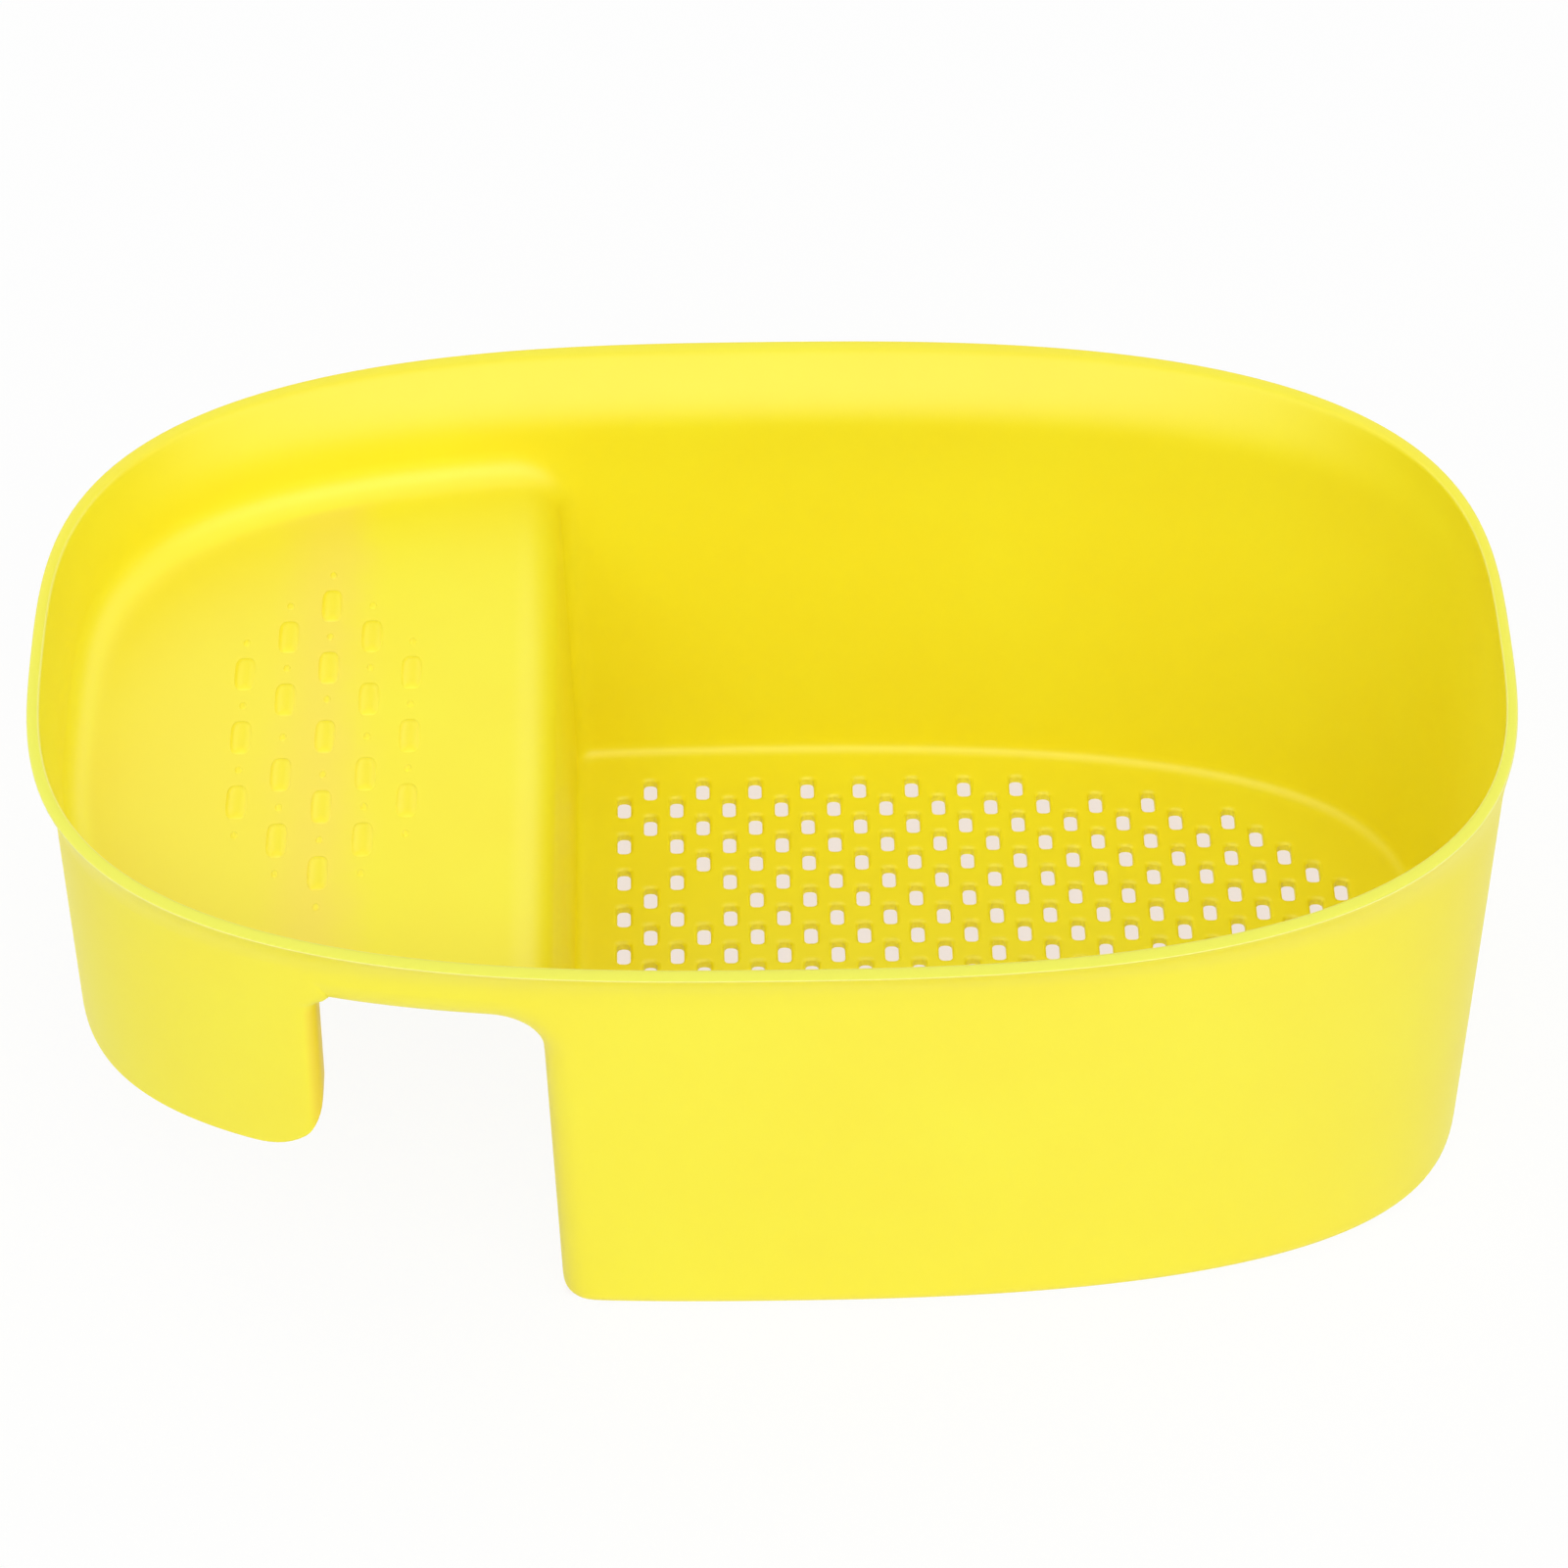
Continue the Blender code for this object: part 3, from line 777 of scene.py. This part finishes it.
def makePolypropylene():
    # Injection-moulded polypropylene: an even, slightly waxy satin with a fine moulded grain
    p = polypropylene
    material = bpy.data.materials.new("injectionMouldedPolypropylene")
    tree = newTree(material)
    spot = addNode(tree, "ShaderNodeTexCoord")
    place = addNode(tree, "ShaderNodeSeparateXYZ", {0: (spot, "Object")})

    drift = addNode(tree, "ShaderNodeTexNoise", {
        "Vector": (spot, "Object"), "Scale": 1 / (p["driftSize"] * mm), "Detail": 3.0,
        "Roughness": 0.55,
    })
    driftShare = addNode(tree, "ShaderNodeMapRange", {
        "Value": (drift, "Fac"), "From Min": p["driftRange"][0], "From Max": p["driftRange"][1],
    })
    pigment = addNode(tree, "ShaderNodeMix", {
        0: (driftShare, "Result"), 6: hexColour(p["base"]), 7: hexColour(p["deep"]),
    }, data_type="RGBA")

    # A soft pinkish band across the tray, uneven at its edges, and fainter beyond it
    wander = addNode(tree, "ShaderNodeTexNoise", {
        "Vector": (spot, "Object"), "Scale": 1 / (p["wanderSize"] * mm), "Detail": 4.0,
        "Roughness": 0.6,
    })
    wander = addNode(tree, "ShaderNodeMath", {
        0: (wander, "Fac"), 1: 2 * p["wanderReach"] * mm, 2: (-p["wanderReach"] - p["shelfBandX"]) * mm,
    }, operation="MULTIPLY_ADD")
    offset = addNode(tree, "ShaderNodeMath", {0: (place, "X"), 1: (wander, 0)}, operation="ADD")
    beyond = addNode(tree, "ShaderNodeMapRange", {
        "Value": (offset, 0), "From Min": p["shelfBandHalfWidth"] * mm, "From Max": 0.0,
        "To Max": p["shelfBandBeyond"],
    }, interpolation_type="SMOOTHSTEP")
    offset = addNode(tree, "ShaderNodeMath", {0: (offset, 0)}, operation="ABSOLUTE")
    shelfBand = addNode(tree, "ShaderNodeMapRange", {
        "Value": (offset, 0), "From Min": p["shelfBandHalfWidth"] * mm, "From Max": 0.0,
        "To Max": p["shelfBandShare"] - p["shelfBandBeyond"],
    }, interpolation_type="SMOOTHSTEP")
    shelfBand = addNode(tree, "ShaderNodeMath", {
        0: (shelfBand, "Result"), 1: (beyond, "Result"),
    }, operation="ADD")
    onTray = addNode(tree, "ShaderNodeMapRange", {
        "Value": (place, "Z"), "From Min": (shelfTop + p["shelfBandAbove"][0]) * mm,
        "From Max": (shelfTop + p["shelfBandAbove"][1]) * mm,
    })
    facing = addNode(tree, "ShaderNodeSeparateXYZ", {0: (spot, "Normal")})
    inTray = addNode(tree, "ShaderNodeMapRange", {
        "Value": (facing, "Z"), "From Min": p["shelfBandFacing"][0], "From Max": p["shelfBandFacing"][1],
    })
    shelfBand = addNode(tree, "ShaderNodeMath", {
        0: (shelfBand, 0), 1: (onTray, "Result"),
    }, operation="MULTIPLY")
    shelfBand = addNode(tree, "ShaderNodeMath", {
        0: (shelfBand, 0), 1: (inTray, "Result"),
    }, operation="MULTIPLY")
    pigment = addNode(tree, "ShaderNodeMix", {
        0: (shelfBand, 0), 6: (pigment, 2), 7: hexColour(p["shelfBand"]),
    }, data_type="RGBA")

    # The bars and dots, which the band passes by, get painted bounce light: a fuller yellow than the
    # tray
    pipBounceShare = addNode(tree, "ShaderNodeMapRange", {
        "Value": (place, "Z"), "From Min": (shelfTop + p["pipAbove"][0]) * mm,
        "From Max": (shelfTop + p["pipAbove"][1]) * mm, "To Max": p["pipPaintedBounceShare"],
    })
    for axis, middle, reach in zip("XY", (pips["centreX"], 0.0), p["pipReach"]):
        near = addNode(tree, "ShaderNodeMath", {
            0: (place, axis), 1: middle * mm, 2: reach * mm,
        }, operation="COMPARE")
        pipBounceShare = addNode(tree, "ShaderNodeMath", {
            0: (pipBounceShare, 0), 1: (near, 0),
        }, operation="MULTIPLY")
    pigment = addNode(tree, "ShaderNodeMix", {
        0: (pipBounceShare, 0), 6: (pigment, 2), 7: hexColour(p["pipPaintedBounce"]),
    }, data_type="RGBA")

    # Painted light: the rim's flat upper edge is paler towards the front, and a painted highlight
    # makes it palest along its two rounded edges
    edge = addNode(tree, "ShaderNodeMapRange", {
        "Value": (place, "Z"), "From Min": (height - p["thinBelow"][0]) * mm,
        "From Max": (height - p["thinBelow"][1]) * mm,
    })
    front = addNode(tree, "ShaderNodeMapRange", {
        "Value": (place, "Y"), "From Min": p["thinFront"][0] * mm,
        "From Max": p["thinFront"][1] * mm,
    })
    land = addNode(tree, "ShaderNodeMath", {
        0: (edge, "Result"), 1: (front, "Result"),
    }, operation="MULTIPLY")
    pigment = addNode(tree, "ShaderNodeMix", {
        0: (land, 0), 6: (pigment, 2), 7: hexColour(p["thin"]),
    }, data_type="RGBA")
    # Painted highlight on the rim's rounded edges, picked out by how far each face looks up
    turned = addNode(tree, "ShaderNodeMapRange", {
        "Value": (facing, "Z"), "From Min": p["rimEdgeHighlightFacing"][0],
        "From Max": p["rimEdgeHighlightFacing"][1],
    })
    rimHighlightShare = addNode(tree, "ShaderNodeMath", {
        0: (land, 0), 1: (turned, "Result"),
    }, operation="MULTIPLY")
    pigment = addNode(tree, "ShaderNodeMix", {
        0: (rimHighlightShare, 0), 6: (pigment, 2), 7: hexColour(p["rimEdgeHighlight"]),
    }, data_type="RGBA")

    # Painted shade: the leg's curled edges, below the shelf, have a deeper tone
    edgeShade = addNode(tree, "ShaderNodeMapRange", {
        "Value": (place, "X"), "From Min": (leg["edgeX"] - p["legEdgeShadeIn"][0]) * mm,
        "From Max": (leg["edgeX"] - p["legEdgeShadeIn"][1]) * mm, "To Max": p["legEdgeShadeShare"],
    }, interpolation_type="SMOOTHSTEP")
    below = addNode(tree, "ShaderNodeMapRange", {
        "Value": (place, "Z"), "From Min": (shelfTop - p["legEdgeShadeBelow"][0]) * mm,
        "From Max": (shelfTop - p["legEdgeShadeBelow"][1]) * mm,
    })
    stepSide = addNode(tree, "ShaderNodeMapRange", {
        "Value": (place, "X"), "From Min": (leg["edgeX"] + p["legEdgeShadeOut"][0]) * mm,
        "From Max": (leg["edgeX"] + p["legEdgeShadeOut"][1]) * mm,
    })
    edgeShade = addNode(tree, "ShaderNodeMath", {
        0: (edgeShade, "Result"), 1: (below, "Result"),
    }, operation="MULTIPLY")
    edgeShade = addNode(tree, "ShaderNodeMath", {
        0: (edgeShade, 0), 1: (stepSide, "Result"),
    }, operation="MULTIPLY")
    pigment = addNode(tree, "ShaderNodeMix", {
        0: (edgeShade, 0), 6: (pigment, 2), 7: hexColour(p["legEdge"]),
    }, data_type="RGBA")

    # The grain is drawn a little coarser than the real one's, which is under 0.2 mm, so it shows
    grain = addNode(tree, "ShaderNodeTexNoise", {
        "Vector": (spot, "Object"), "Scale": 1 / (p["grainSize"] * mm), "Detail": 2.0,
        "Roughness": 0.6,
    })
    ripple = addNode(tree, "ShaderNodeTexNoise", {
        "Vector": (spot, "Object"), "Scale": 1 / (p["rippleSize"] * mm), "Detail": 2.0,
    })
    rippleBump = addNode(tree, "ShaderNodeBump", {
        "Height": (ripple, "Fac"), "Distance": p["rippleDepth"] * mm, "Strength": 1.0,
    })
    bump = addNode(tree, "ShaderNodeBump", {
        "Height": (grain, "Fac"), "Distance": p["grainDepth"] * mm, "Strength": 1.0,
        "Normal": (rippleBump, "Normal"),
    })
    roughness = addNode(tree, "ShaderNodeMapRange", {
        "Value": (grain, "Fac"), "To Min": p["roughness"] - p["roughnessSpread"],
        "To Max": p["roughness"] + p["roughnessSpread"],
    })
    shader = addNode(tree, "ShaderNodeBsdfPrincipled", {
        "Base Color": (pigment, 2), "Roughness": (roughness, "Result"), "IOR": p["ior"],
        "Specular IOR Level": p["specular"], "Normal": (bump, "Normal"),
    })
    addNode(tree, "ShaderNodeOutputMaterial", {"Surface": (shader, "BSDF")})
    return material


moulding.data.materials.clear()
moulding.data.materials.append(makePolypropylene())
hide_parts(*frame["nodes"])
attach(moulding, "root")
print("material given")


# Studio: a pale floor that fades to white, soft light, and the photograph's viewpoint

studio = {
    "floorSize": 8.0,
    "floorColour": "FBFBFB",
    "underShadeColour": "F0E4DC",  # painted warm shade on the floor under the basket, seen through the drain holes
    "underShadeInset": 3.0,
    "underShadeBorder": (1.0, 0.9),  # where that tint sets in, as a share of the base's outline
    "underShadeStart": (-44.0, -40.0),  # and along the object, from the step on
    "floorGlow": 0.92,  # share of the floor's brightness that shadows don't reach
    "skyColour": "FFFFFF",
    "skyStrength": 0.19,
    "lampColour": "FFFFFF",
    "cameraSpot": (-11.47, -989.56, 973.89),
    "lens": 149.26,
    "pitch": 42.49,
    "yaw": 0.81,
    "roll": -0.13,
    "clipEnd": 20.0,
}
# (place in metres, size in metres, watts) of each soft box
softBoxes = (
    ((0.0, -1.9, 1.5), 2.0, 17.2),
    ((-1.5, -1.5, 1.5), 2.4, 14.6),
    ((1.5, -1.5, 1.5), 2.4, 18.0),
    ((-1.6, 1.6, 1.6), 2.8, 22.0),
    ((1.6, 1.6, 1.6), 2.8, 19.0),
    ((0.0, -0.2, 2.4), 2.2, 7.4),
)


def whiteRays(tree):
    # 1 for the camera's rays, and for those that gloss or clear plastic sends on, else 0
    seen = addNode(tree, "ShaderNodeLightPath")
    share = addNode(tree, "ShaderNodeMath", {
        0: (seen, "Is Camera Ray"), 1: (seen, "Is Glossy Ray"),
    }, operation="MAXIMUM")
    return addNode(tree, "ShaderNodeMath", {
        0: (share, 0), 1: (seen, "Is Transmission Ray"),
    }, operation="MAXIMUM")


def makeFloor():
    pickNothing()
    bpy.ops.mesh.primitive_plane_add(size=studio["floorSize"])
    floor = bpy.context.object
    floor.name = "studioFloor"
    # Matt white board, which the camera sees mostly by its own glow, as a bright sweep
    material = bpy.data.materials.new("mattWhiteBoard")
    tree = newTree(material)
    glowShare = addNode(tree, "ShaderNodeMath", {
        0: (whiteRays(tree), 0), 1: studio["floorGlow"],
    }, operation="MULTIPLY")
    board = addNode(tree, "ShaderNodeBsdfDiffuse", {"Color": hexColour(studio["floorColour"])})
    spot = addNode(tree, "ShaderNodeTexCoord")
    place = addNode(tree, "ShaderNodeSeparateXYZ", {0: (spot, "Object")})
    _, basketEnd, side, powerX, powerY = section(height, studio["underShadeInset"])
    shares = []
    for axis, half, power in (("X", basketEnd, powerX), ("Y", side, powerY)):
        share = addNode(tree, "ShaderNodeMath", {0: (place, axis)}, operation="ABSOLUTE")
        share = addNode(tree, "ShaderNodeMath", {0: (share, 0), 1: half * mm}, operation="DIVIDE")
        shares.append(addNode(tree, "ShaderNodeMath", {0: (share, 0), 1: power}, operation="POWER"))
    past = addNode(tree, "ShaderNodeMath", {0: (shares[0], 0), 1: (shares[1], 0)}, operation="ADD")
    under = addNode(tree, "ShaderNodeMapRange", {
        "Value": (past, 0), "From Min": studio["underShadeBorder"][0],
        "From Max": studio["underShadeBorder"][1],
    })
    clear = addNode(tree, "ShaderNodeMapRange", {
        "Value": (place, "X"), "From Min": studio["underShadeStart"][0] * mm,
        "From Max": studio["underShadeStart"][1] * mm,
    })
    under = addNode(tree, "ShaderNodeMath", {
        0: (under, "Result"), 1: (clear, "Result"),
    }, operation="MULTIPLY")
    # Painted warm shade on the floor under the basket
    underShadeTint = addNode(tree, "ShaderNodeMix", {
        0: (under, 0), 6: hexColour("FFFFFF"), 7: hexColour(studio["underShadeColour"]),
    }, data_type="RGBA")
    glow = addNode(tree, "ShaderNodeEmission", {"Color": (underShadeTint, 2)})
    both = addNode(tree, "ShaderNodeMixShader", {
        0: (glowShare, 0), 1: (board, "BSDF"), 2: (glow, "Emission"),
    })
    addNode(tree, "ShaderNodeOutputMaterial", {"Surface": (both, "Shader")})
    floor.data.materials.append(material)


def makeSky():
    world = bpy.data.worlds.new("studioSky")
    bpy.context.scene.world = world
    tree = newTree(world)
    soft = addNode(tree, "ShaderNodeBackground", {
        "Color": hexColour(studio["skyColour"]), "Strength": studio["skyStrength"],
    })
    white = addNode(tree, "ShaderNodeBackground", {"Color": hexColour("FFFFFF"), "Strength": 1.0})
    both = addNode(tree, "ShaderNodeMixShader", {
        0: (whiteRays(tree), 0), 1: (soft, "Background"), 2: (white, "Background"),
    })
    addNode(tree, "ShaderNodeOutputWorld", {"Surface": (both, "Shader")})


def hangSoftBoxes():
    for spot, size, watts in softBoxes:
        bpy.ops.object.light_add(type="AREA", location=spot)
        lamp = bpy.context.object
        lamp.name = "softBox"
        lamp.data.shape = "DISK"
        lamp.data.size = size
        lamp.data.energy = watts
        lamp.data.color = hexColour(studio["lampColour"])[:3]
        aim = Vector((0.0, 0.0, height / 2 * mm)) - Vector(spot)
        lamp.rotation_euler = aim.to_track_quat("-Z", "Y").to_euler()


def placeCamera():
    spot = Vector(studio["cameraSpot"]) * mm
    bpy.ops.object.camera_add(location=spot)
    camera = bpy.context.object
    camera.data.lens = studio["lens"]
    camera.data.clip_end = studio["clipEnd"]
    pitch, yaw, roll = (math.radians(studio[key]) for key in ("pitch", "yaw", "roll"))
    level = Matrix((
        (1, 0, 0),
        (0, -math.sin(pitch), -math.cos(pitch)),
        (0, math.cos(pitch), -math.sin(pitch)),
    ))
    right, down, ahead = Matrix.Rotation(roll, 3, "Z") @ level @ Matrix.Rotation(yaw, 3, "Z")
    turn = Matrix((right, -down, -ahead)).transposed()
    camera.matrix_world = Matrix.Translation(spot) @ turn.to_4x4()
    bpy.context.scene.camera = camera


makeFloor()
makeSky()
hangSoftBoxes()
placeCamera()
bpy.context.scene.view_settings.view_transform = "Standard"
print("studio set")
